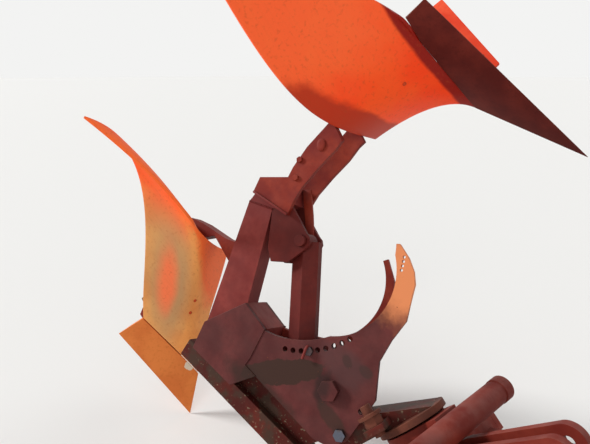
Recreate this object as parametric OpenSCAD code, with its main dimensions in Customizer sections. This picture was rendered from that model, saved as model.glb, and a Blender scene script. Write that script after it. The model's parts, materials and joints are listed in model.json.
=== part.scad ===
// Single furrow reversible mouldboard plough, parked on its share point and lower link ears.
// Every piece is drawn in the plough's own frame: X forward, Y left, Z up,
// with the turnover axis along X and the share tips at x = 0.
// The placing modules then tip it nose down and roll the swinging frame as it parks.

/* [Parking] */
// Roll of the swinging frame about the turnover axis, lower share to the right
park_roll = 32.5; // [20:0.5:40]

/* [Hitch] */
// Distance between the shoulders of the two lower link pins
link_spread = 965; // [905:5:1010]
// Diameter of a lower link pin
link_pin_d = 36.6; // [28:0.2:37.4]
// Free length of a lower link pin
link_pin_len = 110; // [90:2:130]
// Diameter of the pin's shank in its ear
link_shank_d = 30; // [24:1:34]
// Diameter of the linchpin hole
linchpin_d = 12; // [10:0.5:14]
// Linchpin hole from the pin's free end
linchpin_in = 18; // [14:1:24]
// Thickness of a lower link ear
ear_t = 30; // [24:1:40]
// Radius of a lower link ear's round end
ear_r = 60; // [52:1:70]
// Lower link pins ahead of the share tips
link_x = 700; // [690:2:730]
// Lower link pins below the turnover axis
link_drop = 227; // [215:1:245]
// Top link bore above the lower link pins
mast_h = 685; // [640:5:720]
// Top link bore behind the lower link pins
top_back = 60; // [50:2:76]
// Diameter of the top link bore
top_bore_d = 32.2; // [25.6:0.2:34]
// Gap between the two top link ears
top_gap = 52; // [46:1:60]
// Radius of the mast's round head
mast_head_r = 48; // [40:1:56]
// Thickness of a mast plate
mast_t = 25; // [20:1:30]
// Side of the crossbeam's square tube
crossbeam = 120; // [110:1:126]
// Wall of the crossbeam's square tube
tube_wall = 10; // [6:1:14]
// Thickness of a mast stay
stay_t = 28; // [20:1:34]
// Width of a mast stay where it stands on the crossbeam
stay_w = 80; // [60:2:100]

/* [Turnover] */
// Radius of the turnover shaft
shaft_r = 60; // [52:1:64]
// Radial running clearance of the turnover shaft
run_gap = 0.05; // [0.02:0.01:0.09]
// Wall of the turnover bearing housing
housing_wall = 50; // [42:1:54]
// Back face of the turnover bearing housing, ahead of the share tips
housing_x = 460; // [455:1:470]
// Length of the turnover bearing housing
housing_len = 160; // [150:1:168]
// Free gap at each end of the turnover bearing housing
end_gap = 7; // [6:0.5:9]
// Radius of the shaft's flange
flange_r = 125; // [110:1:135]
// Thickness of the shaft's flange
flange_t = 22; // [16:1:26]
// Radius of the shaft's end nut
nut_r = 82; // [74:1:88]
// Thickness of the shaft's end nut
nut_t = 24; // [18:1:28]
// Radius of the turnover cylinder
ram_r = 42; // [36:1:46]
// Length of the turnover cylinder
ram_len = 560; // [480:10:620]
// Height of the turnover cylinder's seat above the housing
ram_seat_h = 22; // [16:1:30]

/* [Bodies] */
// Turnover axis to either share tip
half_height = 983; // [965:1:1000]
// Landside face to the left of the turnover axis
landside_y = 200; // [190:1:210]
// Thickness of the mouldboard
board_t = 12; // [8:0.5:14]
// Thickness of the share
share_t = 14; // [10:0.5:16]
// Thickness of the share's cutting edge
edge_t = 3; // [2:0.5:5]
// Gap of the seam between share and mouldboard
seam_gap = 4; // [2:0.5:6]
// Setback of the share's wing end behind its tip
wing_back = 434; // [420:2:450]
// Width of the share from tip to wing end
wing_out = 253; // [245:1:262]
// Setback of the seam's inner end behind the share tip
seam_back = 140; // [134:1:146]
// Rise of the seam's inner end above the share tip
seam_up = 135; // [130:1:140]
// Setback of the upper share's wing end, which is less worn
upper_wing_back = 690; // [670:2:700]
// Width of the upper share from tip to wing end
upper_wing_out = 375; // [365:1:385]
// Setback of the seam's inner end on the upper body
upper_seam_back = 400; // [394:1:406]
// Rise of the seam's inner end on the upper body
upper_seam_up = 180; // [176:1:184]
// Setback of the shin's top behind the share tip
shin_back = 543; // [535:1:550]
// Height of the shin's top above the share tip
shin_up = 557; // [550:1:564]
// Setback of the mouldboard's tail behind the share tip
tail_back = 996; // [980:2:1020]
// Reach of the mouldboard's tail to the right of the landside
tail_out = 726; // [710:2:740]
// Height of the mouldboard's tail above the share tip
tail_up = 676; // [666:2:690]
// Width of the mouldboard's tail
tail_w = 60; // [44:2:76]
// Height of the landside
landside_h = 110; // [96:1:120]
// Thickness of the landside
landside_t = 16; // [12:1:20]
// Length of the worn lower landside
landside_len = 215; // [200:5:230]
// Setback of the lower landside's front behind the share tip
landside_in = 400; // [390:1:410]
// Length of the upper landside
upper_landside_len = 380; // [360:5:400]
// Setback of the upper landside's front behind the share tip
upper_landside_in = 480; // [470:1:490]
// Diameter of the round mouldboard stay
wing_stay_d = 32; // [24:1:38]

/* [Frame] */
// Clear width between each pair of plates
plate_gap = 140; // [132:1:148]
// Thickness of the sector plates, legs and foot plates
plate_t = 20; // [16:1:24]
// Cross pin behind the share tips
pin_back = 280; // [274:1:286]
// Radius of the cross pin
pin_r = 22; // [18:1:26]
// Radius of the sector's open arc about the cross pin
arc_r = 365; // [360:1:370]
// Radius of the row of adjusting holes about the cross pin
hole_circle_r = 402; // [398:1:406]
// Radius of an adjusting hole
hole_r = 10; // [7:0.5:11]
// Angle between two adjusting holes
hole_step = 4.6; // [4.2:0.1:5]
// Number of adjusting holes
hole_count = 9; // [8:1:10]
// Angle of the last adjusting hole below the turnover plane
hole_end = 3; // [3:0.2:5]
// Which adjusting hole the lever is locked in, from the front
lever_hole = 5; // [4:1:6]
// Angle of the lever behind its lock hole
lever_lead = 9; // [8:0.5:11]
// Width of the adjusting lever
lever_w = 108; // [94:1:116]
// Thickness of the adjusting lever across the plough
lever_t = 96; // [80:1:100]
// Depth of the box arm at its knee
arm_knee_w = 112; // [104:1:120]
// Width of the box arm across the plough
arm_w = 84; // [70:1:100]
// Width of the leg that carries the lower body behind the arm
lower_leg_w = 70; // [60:5:80]
// Depth of the base bar
bar_h = 74; // [66:1:82]
// Width of the base bar across the plough
bar_w = 120; // [104:1:132]
// Rise of the base bar from its rear end forwards
bar_rise = 22; // [21:0.1:23]
// Thickness of the web between the base bar and the plates
web_t = 24; // [16:1:30]
// Size across the flats of the pivot bolt's head
pivot_af = 66; // [55:1:72]
// Radius of the pivot bolt
pivot_r = 21; // [17:0.5:23]
// Radius of the shear bolt
shear_r = 12; // [10:0.5:14]
// Depth of the main beam
beam_h = 130; // [120:1:140]
// Radius of the adjusting screw
screw_r = 18; // [14:0.5:20]
// Length of the adjusting screw
screw_len = 104; // [96:1:112]

/* [Hidden] */
paint = [0.62, 0.16, 0.1];
bare = [0.66, 0.62, 0.58];
dark = [0.3, 0.28, 0.27];
rust = [0.55, 0.36, 0.22];
fine = 96;
big = 2000;
// How far a cut passes the wall it cuts, and the small gap between plates that are welded side by side
cut = 1;
slack = 1;
// Set-backs of the headstock's parts from each other
beam_bite = 6;
beam_setback = 20;
mast_setback = 10;
ram_setback = 4;
stay_setback = 12;
housing_r = shaft_r + run_gap + housing_wall;
top_x = link_x - top_back;
top_z = mast_h - link_drop;
gap_half = plate_gap / 2;
outer = gap_half + plate_t;
tip_low = half_height * cos(park_roll) + landside_y * sin(park_roll);
pitch = acos(ear_r / sqrt(pow(tip_low - link_drop, 2) + pow(link_x, 2))) - atan2(link_x, tip_low - link_drop);

// Placing
module hitch_place() {
  rotate([0, pitch, 0]) translate([-top_x, 0, -top_z]) children();
}
module swing_place() {
  hitch_place() rotate([-park_roll, 0, 0]) children();
}
// A plate drawn in the X-Z plane, from y0 to y0 + t
module side_plate(y0, t) {
  translate([0, y0 + t, 0]) rotate([90, 0, 0]) linear_extrude(height = t) children();
}
module along_y(r, y0, len) {
  translate([0, y0 + len, 0]) rotate([90, 0, 0]) cylinder(r = r, h = len, $fn = fine);
}
module along_x(r, x0, len) {
  translate([x0, 0, 0]) rotate([0, 90, 0]) cylinder(r = r, h = len, $fn = fine);
}
module hex_y(af, y0, len) {
  translate([0, y0 + len, 0]) rotate([90, 0, 0]) cylinder(d = af / cos(30), h = len, $fn = 6);
}

// Headstock
beam_top = beam_bite - housing_r;
beam_back = link_x - beam_setback - crossbeam;
beam_mid_x = beam_back + crossbeam / 2;
beam_mid_z = beam_top - crossbeam / 2;
ear_in = link_spread / 2 - ear_t;
mast_front = link_x - mast_setback;
mast_back = beam_back;
housing_front = housing_x + housing_len;
notch_x = housing_front + 2 * end_gap + nut_t;
notch_z = nut_r + 3 * end_gap;
ram_x = housing_x + ram_r + ram_setback;
ram_z = housing_r + ram_seat_h + ram_r;
stay_x = mast_front - stay_t - stay_setback;

module bearing_housing() {
  color(paint) hitch_place() difference() {
    along_x(housing_r, housing_x, housing_len);
    along_x(shaft_r + run_gap, housing_x - cut, housing_len + 2 * cut);
  }
}
module headstock_crossbeam() {
  color(paint) hitch_place() difference() {
    translate([beam_back, -ear_in, beam_top - crossbeam]) cube([crossbeam, 2 * ear_in, crossbeam]);
    translate([beam_back + tube_wall, -ear_in - cut, beam_top - crossbeam + tube_wall])
      cube([crossbeam - 2 * tube_wall, 2 * (ear_in + cut), crossbeam - 2 * tube_wall]);
    along_x(housing_r, housing_x, housing_len);
  }
}
module mast_plate(y0) {
  color(paint) hitch_place() difference() {
    side_plate(y0, mast_t) difference() {
      union() {
        translate([top_x, top_z]) circle(r = mast_head_r, $fn = fine);
        polygon([
          [mast_back, 0], [housing_front, 0], [housing_front, notch_z], [notch_x, notch_z],
          [notch_x, beam_top], [mast_front, beam_top], [mast_front, notch_z],
          [top_x + mast_head_r, top_z], [top_x - mast_head_r, top_z], [mast_back, notch_z + mast_head_r]
        ]);
      }
      translate([top_x, top_z]) circle(d = top_bore_d, $fn = fine);
    }
    along_x(housing_r, housing_x, housing_len);
  }
}
module mast_plate_left() { mast_plate(top_gap / 2); }
module mast_plate_right() { mast_plate(-top_gap / 2 - mast_t); }
module mast_stay(side) {
  y_in = top_gap / 2 + mast_t;
  color(paint) hitch_place() translate([stay_x, 0, 0]) rotate([90, 0, 90])
    linear_extrude(height = stay_t) polygon([
      [side * y_in, top_z - 2 * mast_head_r], [side * y_in, top_z - mast_head_r],
      [side * (ear_in - ear_t), beam_top], [side * (ear_in - ear_t - stay_w), beam_top]
    ]);
}
module mast_stay_left() { mast_stay(1); }
module mast_stay_right() { mast_stay(-1); }
module lower_ear(y0) {
  reach = sqrt(pow(link_x - beam_mid_x, 2) + pow(link_drop + beam_mid_z, 2));
  tilt = atan2(link_drop + beam_mid_z, beam_mid_x - link_x);
  color(paint) hitch_place() side_plate(y0, ear_t) difference() {
    union() {
      translate([link_x, -link_drop]) circle(r = ear_r, $fn = fine);
      translate([link_x, -link_drop]) rotate(tilt) translate([0, -ear_r]) square([reach, 2 * ear_r]);
      translate([beam_back, beam_top - crossbeam]) square(crossbeam);
    }
    translate([link_x, -link_drop]) circle(d = link_shank_d, $fn = fine);
  }
}
module lower_ear_left() { lower_ear(ear_in); }
module lower_ear_right() { lower_ear(-ear_in - ear_t); }
module lower_link_pin(side) {
  color(bare) hitch_place() translate([link_x, 0, -link_drop]) mirror([0, side > 0 ? 0 : 1, 0]) difference() {
    union() {
      along_y(link_shank_d / 2, ear_in, ear_t);
      along_y(link_pin_d / 2, ear_in + ear_t, link_pin_len);
    }
    translate([0, ear_in + ear_t + link_pin_len - linchpin_in, -link_pin_d])
      cylinder(d = linchpin_d, h = 2 * link_pin_d, $fn = fine);
  }
}
module lower_link_pin_left() { lower_link_pin(1); }
module lower_link_pin_right() { lower_link_pin(-1); }
module turnover_cylinder() {
  color(paint) hitch_place() translate([ram_x, 0, ram_z]) along_y(ram_r, -ram_len / 2, ram_len);
}
module cylinder_seat() {
  color(paint) hitch_place() difference() {
    translate([housing_x, -housing_r / 2, 0]) cube([2 * ram_r, housing_r, ram_z - ram_r / 2]);
    along_x(housing_r, housing_x - cut, housing_len + 2 * cut);
    translate([ram_x, 0, ram_z]) along_y(ram_r, -ram_len / 2, ram_len);
  }
}

// Turnover shaft and main beam
flange_x = housing_x - end_gap - flange_t;
pivot_x = 231;
pivot_z = -177;
shear_x = 372;
shear_z = -223;
module turnover_shaft() {
  color(bare) swing_place() union() {
    along_x(flange_r, flange_x, flange_t);
    along_x(shaft_r, flange_x, flange_t + end_gap + housing_len + end_gap + nut_t);
  }
}
module shaft_end_nut() {
  color(dark) swing_place() difference() {
    translate([housing_front + end_gap, 0, 0]) rotate([0, 90, 0]) cylinder(r = nut_r, h = nut_t, $fn = 8);
    along_x(shaft_r, housing_front, 2 * housing_len);
  }
}
beam_end = 20;
beam_low = [
  [pivot_x - beam_h * 0.8, pivot_z - beam_h / 2], [pivot_x, pivot_z - beam_h * 0.6], [shear_x, shear_z - beam_h / 2]
];
module main_beam() {
  color(paint) swing_place() difference() {
    side_plate(-gap_half, plate_gap) polygon([
      beam_low[0], [pivot_x - beam_h * 0.8, pivot_z + beam_h / 2],
      [pivot_x + beam_h / 2, pivot_z + (beam_h + beam_end) / 2], [shear_x - beam_end, -beam_h],
      [flange_x, flange_r * 0.8], [flange_x, -flange_r - beam_h], beam_low[2], beam_low[1]
    ]);
    translate([pivot_x, 0, pivot_z]) along_y(pivot_r, -outer, 2 * outer);
    translate([shear_x, 0, shear_z]) along_y(shear_r, -outer, 2 * outer);
  }
}

// Sector plates
pin_x = -pin_back;
hook_angle = 54;
foot_angle = -55;
far_hook_angle = 74;
hook_mid = [pin_x + 155, 48];
hook_r = 240;
far_hook_mid = [pin_x + 144, -29];
far_hook_r = 234;
hook_hole_r = 5;
hook_hole_angle = 41;
hook_hole_step = 2.2;
hook_hole_in = 6;
arc_over = 5;
plate_front = [400, -215];
plate_nose = [[385, -285], [340, -322], [280, -342]];
plate_foot = [[-2, -437], [-14, -404]];
screw_hole = [341, -116];
function polar_pt(r, a) = [pin_x + r * cos(a), r * sin(a)];
function far_pt(r, a) = far_hook_mid + r * [cos(a), sin(a)];
lock_angle = -hole_end - lever_hole * hole_step;
lever_angle = lock_angle - lever_lead;
near_hook = [
  polar_pt(arc_r - arc_over, hook_angle), polar_pt(arc_r + 12, hook_angle), polar_pt(arc_r + 47, 47.5),
  polar_pt(arc_r + 73, 41.8), polar_pt(arc_r + 89, 36.7), polar_pt(arc_r + 97, 30), polar_pt(arc_r + 119, 21.7),
  polar_pt(arc_r + 123, 12), polar_pt(arc_r + 150, 3.1), polar_pt(arc_r + 195, -1), polar_pt(arc_r + 252, -5)
];
far_hook = [
  far_pt(far_hook_r - 5, far_hook_angle), far_pt(far_hook_r + 20, far_hook_angle), far_pt(far_hook_r + 32, 55),
  far_pt(far_hook_r + 48, 30), far_pt(far_hook_r + 66, 10), far_pt(far_hook_r + 140, -2), far_pt(far_hook_r + 215, -14)
];
module sector_shape(hook) {
  difference() {
    polygon(concat(hook, [plate_front], plate_nose, plate_foot, [polar_pt(arc_r - arc_over, foot_angle)]));
    for (i = [0 : hole_count - 1]) {
      translate(polar_pt(hole_circle_r, -hole_end - i * hole_step)) circle(r = hole_r, $fn = 32);
    }
    translate([pivot_x, pivot_z]) circle(r = pivot_r, $fn = fine);
    translate([shear_x, shear_z]) circle(r = shear_r, $fn = fine);
  }
}
module near_sector_shape() {
  difference() {
    sector_shape(near_hook);
    translate([pin_x, 0]) circle(r = arc_r, $fn = 180);
    translate(hook_mid) circle(r = hook_r, $fn = 180);
    translate(screw_hole) circle(r = hole_r, $fn = 32);
    for (i = [0 : 3]) {
      translate(polar_pt(hole_circle_r - hook_hole_in, hook_hole_angle + i * hook_hole_step)) circle(r = hook_hole_r, $fn = 24);
    }
  }
}
module far_sector_shape() {
  difference() {
    sector_shape(far_hook);
    translate(far_hook_mid) circle(r = far_hook_r, $fn = 180);
    intersection() {
      translate([pin_x, 0]) circle(r = arc_r, $fn = 180);
      translate([pin_x - arc_r, -2 * arc_r]) square([2 * arc_r, 2 * arc_r]);
    }
  }
}
module sector_plate_right() { color(paint) swing_place() side_plate(-outer, plate_t) near_sector_shape(); }
module sector_plate_left() { color(paint) swing_place() side_plate(gap_half, plate_t) far_sector_shape(); }

// Arm, foot, base bar and web
arm_dir = -53.1;
arm_low = [-176, -598];
arm_top = [-547, -104];
arm_in_low = [-202, -318];
bar_end = [-220, -636];
bar_len = 640;
function on_bar(x) = [x, bar_end[1] + (x - bar_end[0]) * tan(bar_rise)];
arm_in_top = arm_top + arm_knee_w * [cos(arm_dir + 90), sin(arm_dir + 90)];
foot_mid = arm_low + [-60, 80];
foot_front = plate_foot[0] + (plate_nose[2] - plate_foot[0]) / 5 - [0, slack];
beam_foot = [30, -400];
module foot_shape() {
  polygon([
    arm_in_low, polar_pt(arc_r - arc_over, foot_angle) - [slack, slack], plate_foot[1] - [slack, slack],
    plate_foot[0] - [slack, slack], foot_front, on_bar(beam_foot[0]), on_bar(arm_low[0]), foot_mid
  ]);
}
module foot_plate_right() { color(paint) swing_place() side_plate(-outer, plate_t) foot_shape(); }
module foot_plate_left() { color(paint) swing_place() side_plate(gap_half, plate_t) foot_shape(); }
module frame_arm() {
  wall = tube_wall * 1.4 * [cos(arm_dir + 90), sin(arm_dir + 90)];
  down = [arm_low[0] - arm_top[0], arm_low[1] - arm_top[1]] / 20;
  color(paint) swing_place() union() {
    difference() {
      side_plate(-gap_half, arm_w) polygon([arm_in_top, arm_in_low, arm_low, arm_top]);
      side_plate(tube_wall - gap_half, arm_w - 2 * tube_wall) polygon([
        arm_top + wall + down, arm_in_top - wall + down, arm_in_low - wall - down, arm_low + wall - 3 * down
      ]);
    }
    side_plate(-gap_half, plate_gap) polygon([
      arm_in_low, polar_pt(arc_r - arc_over, foot_angle), beam_foot, on_bar(beam_foot[0]), on_bar(arm_low[0]), foot_mid
    ]);
  }
}
module base_bar() {
  color(paint) swing_place() side_plate(-bar_w / 2, bar_w)
    translate(bar_end) rotate(bar_rise) translate([0, -bar_h]) square([bar_len, bar_h]);
}
module frame_web() {
  color(paint) swing_place() side_plate(-web_t / 2, web_t) polygon([
    beam_foot, on_bar(beam_foot[0]), on_bar(shear_x - beam_end), beam_low[2], beam_low[1]
  ]);
}

// Knee, legs and cross pin
frog_front = -480;
frog_back = -700;
frog_low = 330;
frog_block_low = 380;
frog_block_up = 545;
frog_neck_up = 420;
frog_ledge = 100;
knee_front = [-430, 40];
knee_back = [-575, -8];
leg_low = [[-591, -8], [-558, -65], [-391, 9], [-424, 63]];
leg_top = half_height - frog_neck_up - 3 * slack;
leg_front = [[-447, 117], [-469, 208], [-485, 298], [-506, 363], [-515, 441], [-550, leg_top - 10]];
leg_back = [[-650, leg_top], [-603, 397], [-586, 315], [-567, 216], [-536, 128], [-516, 90]];
cheek_foot = [[-243, -91], [-286, -150], [-340, -132]];
cheek_r = 1.5 * pin_r;
pin_at = [pin_x, 0];
cheek_round = [[-0.4, 1], [0.2, 1.05], [0.75, 0.8], [1.05, 0.3], [1.1, -0.5]];
module knee_block() {
  color(paint) swing_place() side_plate(-gap_half, plate_gap)
    polygon([arm_in_top, knee_front, [-500, 80], knee_back, arm_top]);
}
module leg_plate_at(y0) {
  color(paint) swing_place() difference() {
    side_plate(y0, plate_t) polygon(concat(leg_low, leg_front, leg_back));
    in_body(1) board_cutter(1);
  }
}
module leg_plate_right() { leg_plate_at(-outer); }
module leg_plate_left() { leg_plate_at(gap_half); }
bridge_h = 40;
leg_bridge = frog_block_up + 2 * bridge_h - half_height;
module lower_leg() {
  under = [frog_back, frog_block_up - half_height];
  color(paint) swing_place() side_plate(arm_w - gap_half, lower_leg_w) polygon([
    arm_top + (arm_low - arm_top) * 0.3, arm_top + (arm_low - arm_top) * 0.5, [frog_back + 140, leg_bridge],
    under + [frog_ledge, 0], under, under + [0, bridge_h / 2],
    [frog_back + 60, leg_bridge - bridge_h / 2], [frog_back + 180, leg_bridge + bridge_h]
  ]);
}
module cheek_at(y0) {
  color(paint) swing_place() side_plate(y0, plate_t) difference() {
    polygon(concat([arm_in_top, knee_front], [for (c = cheek_round) pin_at + cheek_r * c], cheek_foot));
    translate(pin_at) circle(r = pin_r, $fn = fine);
  }
}
module cheek_right() { cheek_at(-gap_half); }
module cheek_left() { cheek_at(gap_half - plate_t); }
module cross_pin() {
  color(bare) swing_place() translate([pin_x, 0, 0]) along_y(pin_r, -outer, 2 * outer);
}
module adjusting_lever() {
  r_end = hole_circle_r + 3 * hole_r;
  lock = polar_pt(hole_circle_r, lock_angle);
  color(paint) swing_place() difference() {
    union() {
      translate([pin_x, 0, 0]) along_y(cheek_r, plate_t - gap_half, plate_gap - 2 * plate_t);
      translate([pin_x, 0, 0]) rotate([0, -lever_angle, 0]) rotate([90, 0, 90]) linear_extrude(height = r_end) polygon([
        [-lever_t / 4, -lever_w / 2], [-lever_t / 2, 0], [-lever_t / 4, lever_w / 2],
        [lever_t / 2, lever_w / 2], [lever_t / 2, -lever_w / 2]
      ]);
      side_plate(-lever_t / 2, lever_t) polygon([
        polar_pt(arc_r + hole_r, lever_angle), polar_pt(r_end, lever_angle), polar_pt(r_end, lock_angle + 5),
        polar_pt(arc_r + hole_r, lock_angle + 5)
      ]);
    }
    translate([pin_x, 0, 0]) along_y(pin_r, -outer, 2 * outer);
    translate([lock[0], 0, lock[1]]) along_y(hole_r, -outer, 2 * outer);
  }
}
bolt_head_t = 1.3;
module through_bolt(r, af, x, z) {
  head = bolt_head_t * r;
  translate([x, 0, z]) union() {
    along_y(r, -outer - head, 2 * (outer + head));
    hex_y(af, -outer - head, head);
    hex_y(af, outer, head);
  }
}
module lock_bolt() {
  p = polar_pt(hole_circle_r, lock_angle);
  color(dark) swing_place() through_bolt(hole_r, 3 * hole_r, p[0], p[1]);
}
module pivot_bolt() { color(dark) swing_place() through_bolt(pivot_r, pivot_af, pivot_x, pivot_z); }
module shear_bolt() { color(bare) swing_place() through_bolt(shear_r, 3.2 * shear_r, shear_x, shear_z); }
screw_y = -outer - 2 * (screw_r + slack);
screw_z = -80;
lug_t = 22;
lug_x = flange_x - lug_t - 14;
module screw_lug() {
  color(paint) swing_place() difference() {
    translate([lug_x, screw_y - 2 * screw_r, screw_z - 2 * screw_r])
      cube([lug_t, 2 * screw_r - gap_half - screw_y, 4 * screw_r]);
    translate([0, screw_y, screw_z]) along_x(screw_r + run_gap, lug_x - cut, lug_t + 2 * cut);
  }
}
module adjusting_screw() {
  color(dark) swing_place() translate([0, screw_y, screw_z]) union() {
    along_x(screw_r, flange_x - screw_len, screw_len - slack);
    translate([lug_x - screw_r * 1.6, 0, 0]) rotate([0, 90, 0]) cylinder(r = 1.9 * screw_r, h = 1.6 * screw_r, $fn = 6);
    along_x(2.3 * screw_r, lug_x - screw_r * 2.2, screw_r * 0.6);
  }
}

// Plough bodies, drawn from the share tip with the landside face at y = 0. Of each pair below, the first
// is the lower body, whose share is worn short, and the second is the upper body.
tip = [0, 0, 0];
wing_up = [13, 138];
wing = [[-wing_back, -wing_out, wing_up[0]], [-upper_wing_back, -upper_wing_out, wing_up[1]]];
seam_in = [[-seam_back, 0, seam_up], [-upper_seam_back, 0, upper_seam_up]];
wing_to_seam = [[0, 29, 133], [0, 25, 97]];
seam_out = wing + wing_to_seam;
shin_top = [-shin_back, 0, shin_up];
tail_low = [-tail_back, -tail_out, tail_up - tail_w / 2];
tail_top = [-tail_back, -tail_out, tail_up + tail_w / 2];
nu = 16;
nv = 12;
function bez(p, t) = pow(1 - t, 3) * p[0] + 3 * t * pow(1 - t, 2) * p[1] + 3 * t * t * (1 - t) * p[2] + pow(t, 3) * p[3];
shin_curve = [
  [seam_in[0], [-300, 0, 215], [-415, 0, 370], shin_top],
  [seam_in[1], [-490, 0, 225], [-540, 0, 350], shin_top]
];
outer_curve = [
  [seam_out[0], [-604, -305, 271], [-901, -410, 723], tail_low],
  [seam_out[1], [-820, -450, 230], [-990, -590, 420], tail_low]
];
crest_curve = [shin_top, [-505, -399, 654], [-591, -414, 771], tail_top];
function seam_pt(b, u) = seam_in[b] + u * (seam_out[b] - seam_in[b]);
function face_pt(b, u, v) = (1 - v) * seam_pt(b, u) + v * bez(crest_curve, u)
  + (1 - u) * bez(shin_curve[b], v) + u * bez(outer_curve[b], v)
  - (1 - u) * (1 - v) * seam_in[b] - u * (1 - v) * seam_out[b] - (1 - u) * v * shin_top - u * v * tail_low
  - u * v * (tail_top - tail_low) * v;
h = 0.01;
function unit(a) = a / norm(a);
function face_n(b, u, v) =
  unit(cross(face_pt(b, u + h, v) - face_pt(b, u - h, v), face_pt(b, u, v + h) - face_pt(b, u, v - h)));
function share_pt(b, u, v) = (1 - v) * (tip + u * (wing[b] - tip)) + v * seam_pt(b, u);
function share_n(b, u, v) =
  unit(cross(share_pt(b, u + h, v) - share_pt(b, u - h, v), share_pt(b, u, v + h) - share_pt(b, u, v - h)));
function board_front(b) = [for (i = [0 : nu], j = [0 : nv]) face_pt(b, i / nu, j / nv)];
function board_back(b, t) = [for (i = [0 : nu], j = [0 : nv]) face_pt(b, i / nu, j / nv) + t * face_n(b, i / nu, j / nv)];
ahead = [300, 0, 40];
su = 8;
sv = 4;
function share_up(b, u) = seam_pt(b, u) - u * wing[b];
function board_lean(b, u) = board_t * max(0, -face_n(b, u, 0) * unit(share_up(b, u)));
function share_v(b, u) = 1 - (seam_gap + board_lean(b, u)) / norm(share_up(b, u));
function share_top_pt(b, i, j) = share_pt(b, i / su, share_v(b, i / su) * j / sv);
function share_back_pt(b, i, j) = share_top_pt(b, i, j)
  + (edge_t + (share_t - edge_t) * min(1, 2 * j / sv)) * share_n(b, i / su, share_v(b, i / su) * j / sv);
function share_front(b) = [for (i = [0 : su], j = [0 : sv]) share_top_pt(b, i, j)];
function share_back(b) = [for (i = [0 : su], j = [0 : sv]) share_back_pt(b, i, j)];
function share_under(b) = [for (i = [0 : su], j = [0 : sv + 1])
  j <= sv ? share_back_pt(b, i, j) : share_back_pt(b, i, sv) + 0.1 * (share_pt(b, i / su, 1) - share_pt(b, i / su, 0))];
share_ahead = [200, 0, 200];
module shell(front, back, m, n) {
  k = (m + 1) * (n + 1);
  points = concat(front, back);
  skin_front = [for (i = [0 : m - 1], j = [0 : n - 1], s = [0, 1])
    s == 0 ? [i * (n + 1) + j, (i + 1) * (n + 1) + j, (i + 1) * (n + 1) + j + 1]
           : [i * (n + 1) + j, (i + 1) * (n + 1) + j + 1, i * (n + 1) + j + 1]];
  skin_back = [for (f = skin_front) [f[2] + k, f[1] + k, f[0] + k]];
  rim = concat([for (i = [0 : m - 1]) i * (n + 1)], [for (j = [0 : n - 1]) m * (n + 1) + j],
    [for (i = [m : -1 : 1]) i * (n + 1) + n], [for (j = [n : -1 : 1]) j]);
  sides = [for (q = [0 : len(rim) - 1], s = [0, 1])
    s == 0 ? [rim[(q + 1) % len(rim)], rim[q], rim[q] + k]
           : [rim[(q + 1) % len(rim)], rim[q] + k, rim[(q + 1) % len(rim)] + k]];
  polyhedron(points = points, faces = concat(skin_front, skin_back, sides), convexity = 6);
}
module in_body(b) {
  mirror([0, 0, b]) translate([0, landside_y, -half_height]) children();
}
module board_cutter(b) {
  back = board_back(b, board_t);
  shell([for (p = back) p + ahead], back, nu, nv);
}
module share_cutter(b) {
  under = share_under(b);
  shell([for (p = under) p + share_ahead], under, su, sv + 1);
}
module moldboard(b) { color(paint) shell(board_front(b), board_back(b, board_t), nu, nv); }
module share(b) { color(rust) shell(share_front(b), share_back(b), su, sv); }
module landside(b) {
  front = b == 0 ? -landside_in : -upper_landside_in;
  back = b == 0 ? front - landside_len : front - upper_landside_len;
  color(bare) side_plate(-landside_t, landside_t) polygon([
    [front, sole_up], [back, sole_up], [back, sole_up + landside_h], [front + landside_t, sole_up + landside_h]
  ]);
}
sole_up = 12;
frog_wall = 25;
frog_nose = [-250, 100];
frog_heel = [-500, 60];
module frog(b) {
  web_in = landside_y - gap_half;
  color(dark) difference() {
    union() {
      side_plate(-web_in, web_in - landside_t) polygon([
        frog_nose, frog_heel, [frog_back + frog_wall, frog_low], [frog_back + frog_wall, frog_neck_up],
        [frog_front, frog_neck_up], [frog_nose[0] - 80, frog_low]
      ]);
      side_plate(-web_in - plate_gap, plate_gap) polygon([
        [frog_back, frog_block_low + 70], [frog_back, frog_block_up], [frog_back + frog_ledge, frog_block_up],
        [frog_front, frog_neck_up], [frog_front, frog_block_low], [frog_front - 110, frog_block_low]
      ]);
    }
    side_plate(frog_wall - web_in, web_in - landside_t - 2 * frog_wall) polygon([
      frog_heel - [frog_wall, frog_wall], frog_heel + 2 * [frog_wall, frog_wall],
      [frog_back + 5 * frog_wall, frog_low - frog_wall], [frog_back - frog_wall, frog_low - frog_wall]
    ]);
    board_cutter(b);
    share_cutter(b);
  }
}
stay_u = 0.82;
stay_v = 0.75;
module wing_stay(b) {
  from = [frog_back + wing_stay_d, -landside_y - gap_half, frog_block_up - wing_stay_d];
  to = face_pt(b, stay_u, stay_v) + board_t / 2 * face_n(b, stay_u, stay_v);
  d = to - from;
  color(paint) difference() {
    translate(from) rotate([0, acos(d[2] / norm(d)), atan2(d[1], d[0])])
      cylinder(d = wing_stay_d, h = norm(d), $fn = 48);
    translate([-big / 2, -landside_y - gap_half, -big / 2]) cube([big, big, big]);
    board_cutter(b);
  }
}
module lower_moldboard() { swing_place() in_body(0) moldboard(0); }
module lower_share() { swing_place() in_body(0) share(0); }
module lower_landside() { swing_place() in_body(0) landside(0); }
module lower_frog() { swing_place() in_body(0) frog(0); }
module lower_wing_stay() { swing_place() in_body(0) wing_stay(0); }
module upper_moldboard() { swing_place() in_body(1) moldboard(1); }
module upper_share() { swing_place() in_body(1) share(1); }
module upper_landside() { swing_place() in_body(1) landside(1); }
module upper_frog() { swing_place() in_body(1) frog(1); }
module upper_wing_stay() { swing_place() in_body(1) wing_stay(1); }

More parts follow.
